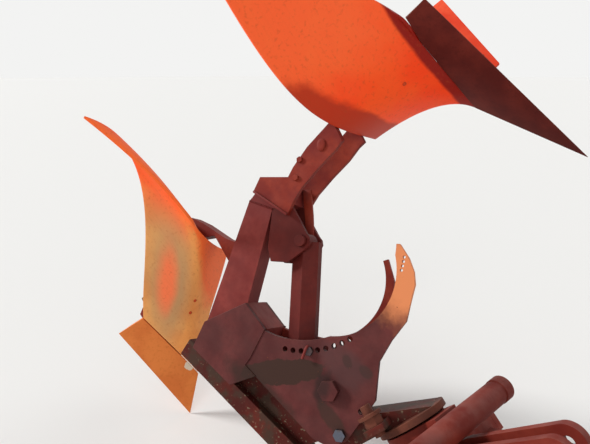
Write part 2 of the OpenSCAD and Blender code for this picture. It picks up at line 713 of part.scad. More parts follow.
bearing_housing();
headstock_crossbeam();
mast_plate_left();
mast_plate_right();
mast_stay_left();
mast_stay_right();
lower_ear_left();
lower_ear_right();
lower_link_pin_left();
lower_link_pin_right();
turnover_cylinder();
cylinder_seat();
turnover_shaft();
shaft_end_nut();
main_beam();
sector_plate_right();
sector_plate_left();
foot_plate_right();
foot_plate_left();
frame_arm();
base_bar();
frame_web();
knee_block();
leg_plate_right();
leg_plate_left();
lower_leg();
cheek_right();
cheek_left();
cross_pin();
adjusting_lever();
lock_bolt();
pivot_bolt();
shear_bolt();
adjusting_screw();
screw_lug();
lower_moldboard();
lower_share();
lower_landside();
lower_frog();
lower_wing_stay();
upper_moldboard();
upper_share();
upper_landside();
upper_frog();
upper_wing_stay();
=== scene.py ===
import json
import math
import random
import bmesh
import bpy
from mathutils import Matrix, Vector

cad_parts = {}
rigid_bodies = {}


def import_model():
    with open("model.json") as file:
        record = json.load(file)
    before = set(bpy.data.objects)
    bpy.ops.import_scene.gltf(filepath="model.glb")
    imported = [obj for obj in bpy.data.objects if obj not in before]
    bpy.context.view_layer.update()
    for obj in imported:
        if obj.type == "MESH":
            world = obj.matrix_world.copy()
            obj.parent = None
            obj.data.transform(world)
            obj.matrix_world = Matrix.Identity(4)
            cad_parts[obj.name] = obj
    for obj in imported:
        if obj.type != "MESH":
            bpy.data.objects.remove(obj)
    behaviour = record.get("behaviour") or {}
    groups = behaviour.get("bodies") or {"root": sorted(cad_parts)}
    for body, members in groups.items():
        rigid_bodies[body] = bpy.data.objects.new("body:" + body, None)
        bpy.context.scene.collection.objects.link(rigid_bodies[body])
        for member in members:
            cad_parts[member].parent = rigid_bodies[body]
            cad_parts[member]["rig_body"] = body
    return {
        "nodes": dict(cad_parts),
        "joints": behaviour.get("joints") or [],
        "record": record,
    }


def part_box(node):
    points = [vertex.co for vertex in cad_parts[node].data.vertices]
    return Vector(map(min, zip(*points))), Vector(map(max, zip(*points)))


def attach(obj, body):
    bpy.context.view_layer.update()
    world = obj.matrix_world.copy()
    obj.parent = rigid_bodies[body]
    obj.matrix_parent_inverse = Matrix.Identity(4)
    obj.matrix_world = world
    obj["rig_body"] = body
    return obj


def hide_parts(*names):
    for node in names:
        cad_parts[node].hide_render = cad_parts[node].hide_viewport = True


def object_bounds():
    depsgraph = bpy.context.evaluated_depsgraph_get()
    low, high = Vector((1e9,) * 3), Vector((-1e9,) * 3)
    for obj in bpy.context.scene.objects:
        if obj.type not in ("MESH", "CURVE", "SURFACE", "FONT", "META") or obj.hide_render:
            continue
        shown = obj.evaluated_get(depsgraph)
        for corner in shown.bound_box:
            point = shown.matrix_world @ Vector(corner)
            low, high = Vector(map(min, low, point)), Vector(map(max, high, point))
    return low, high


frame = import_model()

# %% [markdown]
# # A reversible mouldboard plough
# The plough stands parked, nose down, on the ears of its lower links and the tip of one share.
# Its headstock stays still and the big frame behind it swings about one long axis, so every
# piece below is made in its place and then rides on one of these two bodies.
#
# The solids are already there, in metres. Their outer box is kept first, because nothing that is
# added later may make the plough bigger.

box_before = [list(corner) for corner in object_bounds()]
MM = 0.001
print("box of the solids", [[round(c, 3) for c in corner] for corner in box_before])

# %% [markdown]
# ## The level drawing
# A plough is drawn level: X forward along the turnover axis, Y left and Z up, in millimetres.
# Parked, that drawing is tipped nose down and its swinging frame is rolled. The joint's own axis
# says how far it is tipped, so nothing has to be measured twice. One function brings any point
# of the drawing to its parked place.

# %% From the level drawing to the parked plough
turnover = frame["joints"][0]
AXIS = Vector(turnover["axis"])
PARK_ROLL = math.radians(32.5)
SHAFT_MIDDLE = 540
nose_down = math.atan2(-AXIS.z, AXIS.x)
level_origin = Vector(turnover["pos_m"]) - SHAFT_MIDDLE * MM * AXIS
swung = Matrix.Rotation(nose_down, 3, "Y") @ Matrix.Rotation(-PARK_ROLL, 3, "X")


def at_swing(x, y, z):
    return level_origin + swung @ (Vector((x, y, z)) * MM)


print("nose down by", round(math.degrees(nose_down), 2), "degrees")

# %% [markdown]
# ## The camera
# The camera stands to the right of the headstock, a good 1.5 m above the ground, and looks down
# and back along the plough. Its lens comes from the focal length in pixels, which is what a fit
# to outlines gives: a pixel is a fixed share of the sensor's width.

# %% Camera
CAMERA_AT = (0.301, -1.145, 0.911)
LOOKS_DOWN = math.radians(17.75)
LOOKS_LEFT = math.radians(50.2)
FOCAL_PIXELS = 469.1
FRAME_WIDTH = 590
lens = bpy.data.cameras.new("camera")
lens.sensor_width = 36
lens.lens = FOCAL_PIXELS * lens.sensor_width / FRAME_WIDTH
lens.clip_start = 0.05
camera = bpy.data.objects.new("camera", lens)
camera.location = CAMERA_AT
camera.rotation_euler = (math.pi / 2 - LOOKS_DOWN, 0, LOOKS_LEFT)
bpy.context.collection.objects.link(camera)
bpy.context.scene.camera = camera
print("lens of", round(lens.lens, 2), "mm")

# %% [markdown]
# ## Colours and nodes
# Paint charts and screens give sRGB colours, and a shader works with linear light, so one
# function turns a hex value to linear. A second one adds a node, and every finish below is built
# with it. It takes numbers, colours and the outlets of other nodes alike.

# %% Colour and node helpers


def linear(hex_colour):
    channels = [int(hex_colour[i:i + 2], 16) / 255 for i in (1, 3, 5)]
    return (*(c / 12.92 if c <= 0.04045 else ((c + 0.055) / 1.055) ** 2.4 for c in channels), 1.0)


def add(tree, kind, outlet, inputs=None, **settings):
    """Adds one node with its settings, feeds its inputs and gives back one of its outlets."""
    made = tree.nodes.new("ShaderNode" + kind)
    for name, value in settings.items():
        setattr(made, name, value)
    for socket, value in (inputs or {}).items():
        if isinstance(value, bpy.types.NodeSocket):
            tree.links.new(value, made.inputs[socket])
        else:
            made.inputs[socket].default_value = linear(value) if isinstance(value, str) else value
    return made.outputs[outlet]


print("the frame's red as linear light", [round(c, 3) for c in linear("#68221f")])

# %% [markdown]
# ## Floor
# A pale sheet of paper lies under the plough and reaches far past the view, so that it has no
# edge to see. It only catches the shadow, and it is no part of the object.

# %% Floor
FLOOR_REACH = 150
ground = min(corner[2] for corner in box_before)
bm = bmesh.new()
bmesh.ops.create_grid(bm, x_segments=1, y_segments=1, size=FLOOR_REACH)
bmesh.ops.translate(bm, verts=bm.verts, vec=(0, 0, ground))
floor_mesh = bpy.data.meshes.new("floor")
bm.to_mesh(floor_mesh)
bm.free()
floor = bpy.data.objects.new("floor", floor_mesh)
bpy.context.collection.objects.link(floor)
paper = bpy.data.materials.new("pale studio paper")
paper.use_nodes = True
paper_shader = paper.node_tree.nodes["Principled BSDF"]
paper_shader.inputs["Base Color"].default_value = linear("#e4e3e0")
paper_shader.inputs["Roughness"].default_value = 0.9
floor_mesh.materials.append(paper)
print("ground at", round(ground, 3))

# %% [markdown]
# ## Sky
# A dim grey sky lights the plough softly from all sides. The camera, and gloss, see a paler sky
# than the one that lights it, so the background is nearly white without more light on the paint.
# Light Path tells the two kinds of look apart.

# %% Sky
SKY_STRENGTH = 0.58
world = bpy.data.worlds.new("studio sky")
bpy.context.scene.world = world
world.use_nodes = True
sky = world.node_tree
lit_sky = sky.nodes["Background"]
lit_sky.inputs["Color"].default_value = linear("#e9eaec")
lit_sky.inputs["Strength"].default_value = SKY_STRENGTH
camera_ray = add(sky, "LightPath", "Is Camera Ray")
glossy_ray = camera_ray.node.outputs["Is Glossy Ray"]
seen = add(sky, "Math", 0, {0: camera_ray, 1: glossy_ray}, operation="MAXIMUM")
pale_sky = add(sky, "Background", 0, {"Color": "#f3f3f2", "Strength": 1.0})
both_skies = add(sky, "MixShader", 0, {0: seen, 1: lit_sky.outputs[0], 2: pale_sky})
sky.links.new(both_skies, sky.nodes["World Output"].inputs["Surface"])
print("the sky lights at", SKY_STRENGTH, "and shows at 1.0")

# %% [markdown]
# ## Lamps
# Three wide lamps make the forms read: a key from the camera's left, a weak fill from behind the
# camera and a rim from the right, beyond the plough. They are suns, because a sun lights the floor
# evenly up to the horizon, and each is several degrees wide, so that its shadows have soft edges.
# View transform Standard then shows a paint about as its hex value says.

# %% Lamps
# Name, where the light comes from, strength, and how many degrees wide it is.
LAMPS = (("key", (-3.0, -2.6, 2.0), 2.8, 12), ("fill", (2.2, -2.6, 2.0), 0.75, 40),
         ("rim", (0.2, 3.0, 2.6), 0.5, 40))
for name, comes_from, strength, wide in LAMPS:
    sun = bpy.data.lights.new(name, "SUN")
    sun.energy = strength
    sun.angle = math.radians(wide)
    lamp = bpy.data.objects.new(name, sun)
    lamp.rotation_euler = Vector(comes_from).to_track_quat("Z", "Y").to_euler()
    bpy.context.collection.objects.link(lamp)
bpy.context.scene.view_settings.view_transform = "Standard"
print("lamps", [row[0] for row in LAMPS])

# %% [markdown]
# ## How a finish is built up
# The whole plough was sprayed one orange red. Years outdoors took most of it from the frame: it
# is now a dull, dusty maroon with rust where it was knocked. The mouldboards kept theirs better,
# apart from the middle, where soil scoured it away. Shares and landsides wear too fast to hold
# paint, so they are flat rust.
#
# So every finish is a few coats, one over another, each let through by a mask. A mask is cloudy
# noise with its blotches sized in millimetres, cut to soft islands by a smooth step. Object
# coordinates are metres here, so a scale of 1000 over the size gives blotches of that size.

# %% New finish, mottled mask, and one coat over another


def new_finish(name, roughness, metallic=0.0, gloss=0.14):
    """Weathered paint and rust hardly shine, so gloss stays low unless the finish is metal."""
    made = bpy.data.materials.new(name)
    made.use_nodes = True
    tree = made.node_tree
    shader = tree.nodes["Principled BSDF"]
    shader.inputs["Roughness"].default_value = roughness
    shader.inputs["Metallic"].default_value = metallic
    shader.inputs["Specular IOR Level"].default_value = gloss
    return made, tree, shader, add(tree, "TexCoord", "Object")


def mottle(tree, where, size_mm, low, high, detail=5.0):
    """Islands about size_mm wide: 1 where noise is above high, 0 below low, soft between them."""
    clouds = add(tree, "TexNoise", "Fac", {"Vector": where, "Scale": 1000 / size_mm,
                                           "Detail": detail, "Roughness": 0.55})
    return add(tree, "MapRange", "Result", {"Value": clouds, "From Min": low, "From Max": high},
               interpolation_type="SMOOTHSTEP")


def coat(tree, under, over, mask, share=1.0):
    """Lays one colour over another where mask is 1. A share below 1 lets the lower one through."""
    amount = add(tree, "Math", 0, {0: mask, 1: share}, operation="MULTIPLY", use_clamp=True)
    return add(tree, "Mix", 2, {"Factor": amount, 6: under, 7: over}, data_type="RGBA")


print("a 150 mm blotch has a noise scale of", round(1000 / 150, 2))

# %% [markdown]
# ## Wear and grain
# Paint goes first from edges. A Bevel node bends the normal near an edge, so its angle to the
# true normal says how near that edge is, on any shape and without painting a mask by hand. Grain
# and pits are too small to model, and a bump a few tenths of a millimetre deep is enough.

# %% Rubbed edges, knocked off paint, and pits


def rubbed_edges(tree, width_mm):
    """1 along edges, 0 on flat faces."""
    rounded = add(tree, "Bevel", "Normal", {"Radius": width_mm * MM}, samples=4)
    true = add(tree, "NewGeometry", "Normal")
    lean = add(tree, "VectorMath", "Value", {0: rounded, 1: true}, operation="DOT_PRODUCT")
    apart = add(tree, "Math", 0, {0: 1.0, 1: lean}, operation="SUBTRACT", use_clamp=True)
    return add(tree, "MapRange", "Result", {"Value": apart, "From Min": 0.02, "From Max": 0.22},
               interpolation_type="SMOOTHSTEP")


def knocked_off(tree, where, chips, spots):
    """1 where paint is gone. Chips lie along edges. Both are size in mm, low, high, detail."""
    along = add(tree, "Math", 0, {0: rubbed_edges(tree, 2.5), 1: mottle(tree, where, *chips)},
                operation="MULTIPLY", use_clamp=True)
    return add(tree, "Math", 0, {0: along, 1: mottle(tree, where, *spots)},
               operation="MAXIMUM", use_clamp=True)


def pitted(tree, shader, where, grain_mm, detail, depth_mm, strength=0.3, ridges=0.0):
    """Pits about grain_mm wide on top of any wider ridges, as a bump on the shader's normal."""
    pits = add(tree, "TexNoise", "Fac", {"Vector": where, "Scale": 1000 / grain_mm,
                                         "Detail": detail, "Roughness": 0.55})
    height = add(tree, "Math", 0, {0: ridges, 1: pits}, operation="ADD", use_clamp=True)
    bump = add(tree, "Bump", "Normal", {"Height": height, "Strength": strength,
                                        "Distance": depth_mm * MM})
    tree.links.new(bump, shader.inputs["Normal"])


print("edge wear, chips and pits are ready")

# %% [markdown]
# ## Marks at known places
# Some wear sits in one place only: the bare patch on the near sector plate, or a chip on a share.
# Object coordinates turned back to the level drawing say where that is. A Mapping node of type
# Texture turns a place, a lean and three radii to a ball of radius 1, and noise added to the
# distance from its middle makes the ball's edge ragged.

# %% The level drawing inside a finish, and a ragged blot


def drawn(tree):
    """Object coordinates on the level drawing of the swinging frame, in metres."""
    back = swung.inverted()
    return add(tree, "Mapping", "Vector", {"Vector": add(tree, "TexCoord", "Object"),
                                           "Location": -(back @ level_origin),
                                           "Rotation": back.to_euler()})


def blot(tree, centre, radii, lean=0.0, soft=0.05, ragged=0.9, size_mm=45):
    """1 inside a ragged ball at a place of the level drawing. Sizes are in millimetres."""
    place = drawn(tree)
    local = add(tree, "Mapping", "Vector",
                {"Vector": place, "Location": Vector(centre) * MM,
                 "Rotation": (0, -math.radians(lean), 0), "Scale": Vector(radii) * MM},
                vector_type="TEXTURE")
    reach = add(tree, "VectorMath", "Value", {0: local}, operation="LENGTH")
    rags = add(tree, "TexNoise", "Fac", {"Vector": place, "Scale": 1000 / size_mm,
                                         "Detail": 6.0, "Roughness": 0.55})
    rags = add(tree, "Math", 0, {0: rags, 1: ragged}, operation="MULTIPLY", use_clamp=True)
    reach = add(tree, "Math", 0, {0: reach, 1: rags}, operation="ADD")
    rim = 1 + ragged / 2
    return add(tree, "MapRange", "Result",
               {"Value": reach, "From Min": rim + soft, "From Max": rim - soft},
               interpolation_type="SMOOTHSTEP")


print("level drawing starts at", [round(c, 3) for c in level_origin])

# %% [markdown]
# ## Faded enamel on the frame
# The frame is hot rolled plate under sprayed alkyd enamel. In the sun it chalks: the surface turns
# to a fine dust of pigment, so colour drifts over a hand's width, gloss is gone and faces that lie
# up hold pale dust. Where it is knocked, brown rust shows. Low on the machine, soil and grey
# lichen sit on it. One function lays these coats in the order in which they came.

# %% Faded frame paint
NEAR_PLATE = -90


def faded_frame_paint(name, deep, light, dust=0.12, marks=(), lichen=0.0):
    made, tree, shader, where = new_finish(name, 0.6)
    paint = coat(tree, deep, light, mottle(tree, where, 150, 0.36, 0.66, 4.0))
    paint = coat(tree, paint, deep, mottle(tree, where, 18, 0.42, 0.72, 6.0), 0.4)

    upward = add(tree, "SeparateXYZ", "Z", {0: add(tree, "NewGeometry", "Normal")})
    lying = add(tree, "MapRange", "Result", {"Value": upward, "From Min": 0.2, "From Max": 0.95},
                interpolation_type="SMOOTHSTEP")
    dusty = add(tree, "Math", 0, {0: lying, 1: mottle(tree, where, 60, 0.3, 0.7)},
                operation="MULTIPLY", use_clamp=True)
    paint = coat(tree, paint, "#b9948a", dusty, dust)

    for (x, z), (long, high), lean, colour, share, soft in marks:
        mark = blot(tree, (x, NEAR_PLATE, z), (long, 40, high), lean, soft)
        paint = coat(tree, paint, colour, mark, share)
    if lichen:
        paint = coat(tree, paint, "#9c9479", mottle(tree, where, 13, 0.6, 0.68), lichen)
        paint = coat(tree, paint, "#3a2c22", mottle(tree, where, 70, 0.42, 0.6), 0.8)

    bare = knocked_off(tree, where, (14, 0.49, 0.58, 4.0), (9, 0.71, 0.75, 3.0))
    rust = coat(tree, "#4a261c", "#6f3d26", mottle(tree, where, 6, 0.4, 0.6))
    tree.links.new(coat(tree, paint, rust, bare), shader.inputs["Base Color"])
    pitted(tree, shader, where, 3, 4.0, 0.5, 0.35)
    return made


print("one enamel, to be faded in several ways")

# %% [markdown]
# ## One enamel, faded eight ways
# Each part of the frame aged at its own pace, so the same finish is made with other tones: nearly
# brown on plates, redder on arm and legs, dark and soiled on the bar near the ground, dark on the
# lever, orange red over the board bolts and bright on the upper landside. The plates and the lever
# are also darkened as painted shade, where they lie in shade, and the landside is brightened as
# painted light, where sun falls on it. Only the near sector plate gets marks. Their rows give place
# and radii on the drawing in x and z, lean in degrees, colour, share and softness. The first is the
# wide patch under the row of holes, where the enamel is gone. The last is painted light: the hook
# is made light orange where sun falls on it.

# %% The frame's paints
PLATE_MARKS = (
    ((90, -315), (178, 46), 66, "#38231c", 1.0, 0.05),
    ((190, -90), (95, 60), 20, "#4d3534", 0.5, 0.4),
    ((215, -195), (60, 34), -50, "#2d1c1a", 0.8, 0.3),
    ((318, -222), (75, 26), 10, "#38261f", 0.75, 0.2),
    ((110, -430), (170, 46), 24, "#33201a", 0.8, 0.35),
    ((240, -30), (26, 18), 30, "#3c2824", 0.7, 0.2),
    ((180, -70), (26, 16), 0, "#3c2824", 0.7, 0.2),
    # Painted light: this last row lightens the hook to orange where sun falls on it.
    ((45, 260), (150, 130), 0, "#df8856", 0.85, 0.5))
# Painted shade: plates and lever get darker enamel because they lie in shade.
plate_paint = faded_frame_paint("faded enamel on plate, painted shade and lit hook", "#491f1e", "#5d2927", marks=PLATE_MARKS)
arm_paint = faded_frame_paint("faded enamel on box arm", "#68221f", "#80322c")
leg_paint = faded_frame_paint("faded enamel on leg", "#6a1a13", "#862e1c")
lever_paint = faded_frame_paint("shaded enamel on lever", "#4e1511", "#601d17", dust=0.05)
bar_paint = faded_frame_paint("soiled enamel on base bar", "#42120c", "#5a1e14", dust=0.03,
                              lichen=0.4)
headstock_paint = faded_frame_paint("faded enamel on headstock", "#662018", "#7b2e22")
# Painted light: the upper landside is made bright orange red where sun falls on it.
lit_landside_paint = faded_frame_paint("landside enamel, brightened as painted light", "#d83f24", "#ea5a38", dust=0.0)
bolt_head_paint = faded_frame_paint("enamel over bolt heads", "#c2421f", "#d8552b", dust=0.0)
print("frame paints made, with", len(PLATE_MARKS), "marks on the near plate")

# %% [markdown]
# ## Orange enamel on the mouldboards
# Both boards left the works in glossy orange red. The upper one kept it, with a dark band along
# its seam that is painted shade, where the board turns away from the light. Soil ran over the
# lower one, from the seam up and out to the tail, and thinned the enamel to tan round its middle,
# where a bright orange spot is a painted highlight. This wear follows the plate and not the space
# round it, so it is laid out on the board's own flow map: u from the shin to the tail, v from the
# seam to the crest. Each patch, of wear and of painted light and shade alike, is an ellipse there,
# with noise on its edge.

# %% A patch of wear and of painted light and shade on the flow map
BOARD_LONG, BOARD_HIGH = 750, 480
RAGS_PER_BOARD, RAGGED = 7.0, 0.5


def wear_and_light_patch(tree, flow, centre, radii, soft):
    """1 inside a soft, ragged ellipse on the flow map."""
    local = add(tree, "Mapping", "Vector", {"Vector": flow, "Location": (*centre, 0),
                                            "Scale": (*radii, 1)}, vector_type="TEXTURE")
    reach = add(tree, "VectorMath", "Value", {0: local}, operation="LENGTH")
    rags = add(tree, "TexNoise", "Fac", {"Vector": flow, "Scale": RAGS_PER_BOARD, "Detail": 6.0})
    rags = add(tree, "Math", 0, {0: rags, 1: RAGGED}, operation="MULTIPLY", use_clamp=True)
    reach = add(tree, "Math", 0, {0: reach, 1: rags}, operation="ADD")
    rim = 1 + RAGGED / 2
    return add(tree, "MapRange", "Result",
               {"Value": reach, "From Min": rim + soft, "From Max": rim - soft},
               interpolation_type="SMOOTHSTEP")


print("rags round a patch are about", round(BOARD_LONG / RAGS_PER_BOARD), "mm long")

# %% [markdown]
# ## The coats of a board
# First comes the enamel in two tones, then the patches and the band, then what soil did all over:
# fine scratches along its path, a rusty mottle, and nicks at the rim. Scratches are noise that is
# stretched along u. Their real length and width, set against the board's, say by how much.

# %% Mouldboard enamel
STREAK_LONG, STREAK_WIDE = 125, 6


def board_enamel(name, tones, patches, streaks, roughness, seam_shade_band=None):
    made, tree, shader, where = new_finish(name, roughness)
    flow = add(tree, "UVMap", "UV", uv_map="flow")
    paint = coat(tree, *tones, mottle(tree, where, 200, 0.35, 0.68, 3.0))
    for colour, centre, radii, share, soft in patches:
        paint = coat(tree, paint, colour, wear_and_light_patch(tree, flow, centre, radii, soft), share)
    # The seam band is painted shade: dark red where the board turns away from the light.
    if seam_shade_band:
        colour, near, far = seam_shade_band
        up_board = add(tree, "SeparateXYZ", "Y", {0: flow})
        rags = add(tree, "TexNoise", "Fac", {"Vector": where, "Scale": 1000 / 60,
                                             "Detail": 4.0, "Roughness": 0.55})
        rags = add(tree, "Math", 0, {0: rags, 1: 0.05}, operation="MULTIPLY", use_clamp=True)
        ragged = add(tree, "Math", 0, {0: up_board, 1: rags}, operation="ADD")
        seam_shade = add(tree, "MapRange", "Result", {"Value": ragged, "From Min": far, "From Max": near},
                   interpolation_type="SMOOTHSTEP")
        paint = coat(tree, paint, colour, seam_shade)

    stretched = add(tree, "Mapping", "Vector", {"Vector": flow, "Scale": (
        BOARD_LONG / STREAK_LONG, BOARD_HIGH / STREAK_WIDE, 1)})
    streak = add(tree, "TexNoise", "Fac", {"Vector": stretched, "Scale": 1.0, "Detail": 6.0})
    streak = add(tree, "MapRange", "Result", {"Value": streak, "From Min": 0.45, "From Max": 0.75},
                 interpolation_type="SMOOTHSTEP")
    paint = coat(tree, paint, "#8a5a33", streak, streaks)
    paint = coat(tree, paint, "#a8431f", mottle(tree, where, 14, 0.52, 0.78, 6.0), 0.35)
    nicks = knocked_off(tree, where, (16, 0.47, 0.6, 3.0), (9, 0.79, 0.82, 2.0))
    tree.links.new(coat(tree, paint, "#7b4930", nicks), shader.inputs["Base Color"])
    pitted(tree, shader, where, 4, 4.0, 0.2, ridges=streak)
    return made


print("streaks on the boards are", STREAK_LONG, "by", STREAK_WIDE, "mm")

# %% [markdown]
# ## One board kept its paint, the other was scoured
# The upper board gets two patches, both painted: lighter orange towards the tail as painted light,
# where the board faces the light, and darker red along the crest by the shin as painted shade. Its
# band of painted shade runs along the seam. The lower one starts from thinned orange and gets fresh
# orange back at the crest, where no soil reached, and its tan ring round the middle, with a bright
# orange spot inside that is a painted highlight. A patch's row gives a colour, a middle and two
# radii on the flow map, a share and a softness.

# %% The two board paints
upper_paint = board_enamel("orange enamel, kept", ("#ff4410", "#ff5419"), (
    # Painted light: lighter orange towards the tail, where the board faces the light.
    ("#ff7640", (1.0, 0.85), (0.45, 0.7), 0.55, 0.5),
    # Painted shade: darker red along the crest by the shin.
    ("#b02f14", (0.12, 1.02), (0.55, 0.2), 0.9, 0.12)),
    # Painted shade: a dark red band along the seam.
    streaks=0.04, roughness=0.42, seam_shade_band=("#8f170a", 0.2, 0.26))
lower_paint = board_enamel("orange enamel, scoured", ("#f7aa5e", "#ea934c"), (
    ("#ff5a20", (0.95, 1.0), (0.42, 0.42), 0.95, 0.3),
    ("#ff6f30", (0.1, 1.0), (0.34, 0.42), 0.95, 0.25),
    ("#ff6f30", (0.55, 1.1), (0.6, 0.22), 0.8, 0.2),
    ("#b39268", (0.7, 0.34), (0.27, 0.34), 0.75, 0.6),
    # Painted highlight: a bright orange spot in the middle of the board.
    ("#ff7c4c", (0.75, 0.32), (0.11, 0.16), 0.95, 0.6)),
    streaks=0.08, roughness=0.5)
print("made", upper_paint.name, "and", lower_paint.name)

# %% [markdown]
# ## Flat rust
# Shares, landsides and forgings are hot rolled or forged steel. Soil polishes them in work, and
# one damp week gives them an even film of rust: matt, tan to brown, with fine dark pits and a
# paler line where an edge was rubbed. Rust covers the metal, so it reads as hardly metallic. The
# lower share has one bright chip close to its seam. The upper share, which lies in shade, gets a
# dark red copy of the same finish as painted shade.

# %% Flat rust
SHARE_CHIP_AT, SHARE_CHIP_R = (-185, 168, -856), 24


def flat_rust(name, light, mid, deep, roughness, chip_at=None):
    made, tree, shader, where = new_finish(name, roughness, 0.15)
    tone = coat(tree, mid, light, mottle(tree, where, 120, 0.35, 0.65, 4.0))
    tone = coat(tree, tone, deep, mottle(tree, where, 14, 0.5, 0.75, 6.0), 0.4)
    if chip_at:
        chip = blot(tree, chip_at, [SHARE_CHIP_R] * 3, ragged=0.7, size_mm=12)
        tone = coat(tree, tone, "#dccbb2", chip)
    tone = coat(tree, tone, "#b08f72", rubbed_edges(tree, 2), 0.5)
    tree.links.new(tone, shader.inputs["Base Color"])
    pitted(tree, shader, where, 5, 6.0, 0.4)
    return made


share_rust = flat_rust("flat rust on share", "#e08140", "#d57438", "#bd6429", 0.7, SHARE_CHIP_AT)
# Painted shade: the upper share is made dark red because it lies in shade.
share_in_painted_shade = flat_rust("share darkened as painted shade", "#69231a", "#571913", "#43120d", 0.6)
landside_rust = flat_rust("rubbed rust on landside", "#8d6a52", "#74543f", "#4f382b", 0.55)
shaft_rust = flat_rust("rusted forging", "#68392b", "#553026", "#38211b", 0.65)
frog_paint = flat_rust("painted casting", "#7a2f24", "#662a22", "#43211b", 0.7)
print("rust on share, landside, shaft and frog")

# %% [markdown]
# ## Turned and plated steel
# Hitch pins are turned bar that is handled or runs in a bore, so they stay grey and fairly smooth.
# Bolts are duller, and the shear bolt is new and zinc plated. Dull brown patches break them up.

# %% Bright steel


def bright_steel(name, tone, roughness):
    made, tree, shader, where = new_finish(name, roughness, 0.9, 0.5)
    worn = coat(tree, tone, "#5a4536", mottle(tree, where, 25, 0.42, 0.68), 0.7)
    tree.links.new(worn, shader.inputs["Base Color"])
    pitted(tree, shader, where, 2, 4.0, 0.15)
    return made


pin_steel = bright_steel("turned pin steel", "#8b8782", 0.38)
bolt_steel = bright_steel("dulled bolt steel", "#54474a", 0.5)
zinc_steel = bright_steel("plated bolt end", "#5c5f6a", 0.35)
print("finishes", len(bpy.data.materials))

# %% [markdown]
# ## From a bmesh to a piece
# Steel parts have flat faces, and curves that run smoothly into them. So every face is shaded
# smooth and every edge with more than a small fold is marked sharp, which shows both as they are.
# Each piece says on which body it rides, because it has to move when the frame is turned over.

# %% A finished piece
SHARP = math.radians(35)


def as_piece(bm, name, material, body):
    """Turns a bmesh to a piece that rides on its body, smooth except along sharp edges."""
    for face in bm.faces:
        face.smooth = True
    for edge in bm.edges:
        if len(edge.link_faces) == 2:
            edge.smooth = edge.calc_face_angle(0) < SHARP
    mesh = bpy.data.meshes.new(name)
    bm.to_mesh(mesh)
    bm.free()
    mesh.materials.append(material)
    made = bpy.data.objects.new(name, mesh)
    bpy.context.collection.objects.link(made)
    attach(made, body)
    return made


print("folds over", round(math.degrees(SHARP)), "degrees stay sharp")

# %% [markdown]
# ## Softened copies of the solids
# Every plate was flame cut and its edges ground, so light catches a small round on them. The
# solids have no such round. A solid's mesh is loose triangles and is left alone: a copy of it is
# merged to clean faces and gets a Bevel modifier on its sharp edges only. A copy can also be cut
# off at a width first, and the cut is closed again, because a bevel needs a closed form.

# %% A softened copy


def cut_off_far_side(bm, far_side):
    """Cuts away what lies beyond a width of the level drawing and closes the cut."""
    everything = list(bm.verts) + list(bm.edges) + list(bm.faces)
    cut = bmesh.ops.bisect_plane(bm, geom=everything, dist=0.01 * MM,
                                 plane_co=at_swing(0, far_side, 0),
                                 plane_no=swung @ Vector((0, 1, 0)), clear_outer=True)["geom_cut"]
    bmesh.ops.triangle_fill(bm, edges=[g for g in cut if isinstance(g, bmesh.types.BMEdge)],
                            use_beauty=True, use_dissolve=False)


def softened(node, material, width_mm=2.0, segments=2, far_side=None):
    """Stands in for a CAD node with the same form and ground edges."""
    solid = frame["nodes"][node]
    bm = bmesh.new()
    bm.from_mesh(solid.data)
    bmesh.ops.remove_doubles(bm, verts=bm.verts, dist=0.02 * MM)
    bmesh.ops.dissolve_limit(bm, angle_limit=math.radians(0.6), verts=bm.verts, edges=bm.edges)
    if far_side is not None:
        cut_off_far_side(bm, far_side)
    bmesh.ops.recalc_face_normals(bm, faces=bm.faces)
    made = as_piece(bm, node + "_piece", material, solid["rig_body"])
    ground_edge = made.modifiers.new("ground edge", "BEVEL")
    ground_edge.width = width_mm * MM
    ground_edge.segments = segments
    ground_edge.limit_method = "ANGLE"
    ground_edge.angle_limit = SHARP
    ground_edge.harden_normals = True
    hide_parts(node)
    return made


print("solids to dress", len(frame["nodes"]))

# %% [markdown]
# ## Painted plates, arm, legs and headstock
# All of these were sprayed alike and faded differently, most on the plates and least on the legs,
# and the plates and the lever are also darkened as painted shade, so a word in a node's name picks
# its paint. The real adjusting lever is narrower than its solid, so only the near half is kept, and
# the strap that lies beyond it is added further down.

# %% Painted pieces
LEVER_FAR_SIDE = 12
FRAME_PAINTS = ((("sector_plate_left",), leg_paint), (("sector", "foot_plate"), plate_paint),
                (("frame_arm", "knee"), arm_paint), (("leg", "wing_stay"), leg_paint),
                (("lever", "cheek"), lever_paint),
                (("base_bar", "frame_web", "main_beam", "screw_lug"), bar_paint))
painted = [row["node"] for row in frame["record"]["subparts"]
           if row["material_slot"] == "frame_paint" and row["node"] != "turnover_cylinder"]


def paint_of(node):
    for words, finish in FRAME_PAINTS:
        if any(word in node for word in words):
            return finish
    return headstock_paint


for node in painted:
    far_side = LEVER_FAR_SIDE if node == "adjusting_lever" else None
    softened(node, paint_of(node), far_side=far_side)
print("painted pieces", len(painted))

# %% [markdown]
# ## Steel that wears, turns or clamps
# Castings have a wide round, shares are ground nearly sharp, and pins and bolts have a small
# chamfer. One row for each says its finish, the width of its round in millimetres, how many steps
# the round has, and the slot of the record that it belongs to.

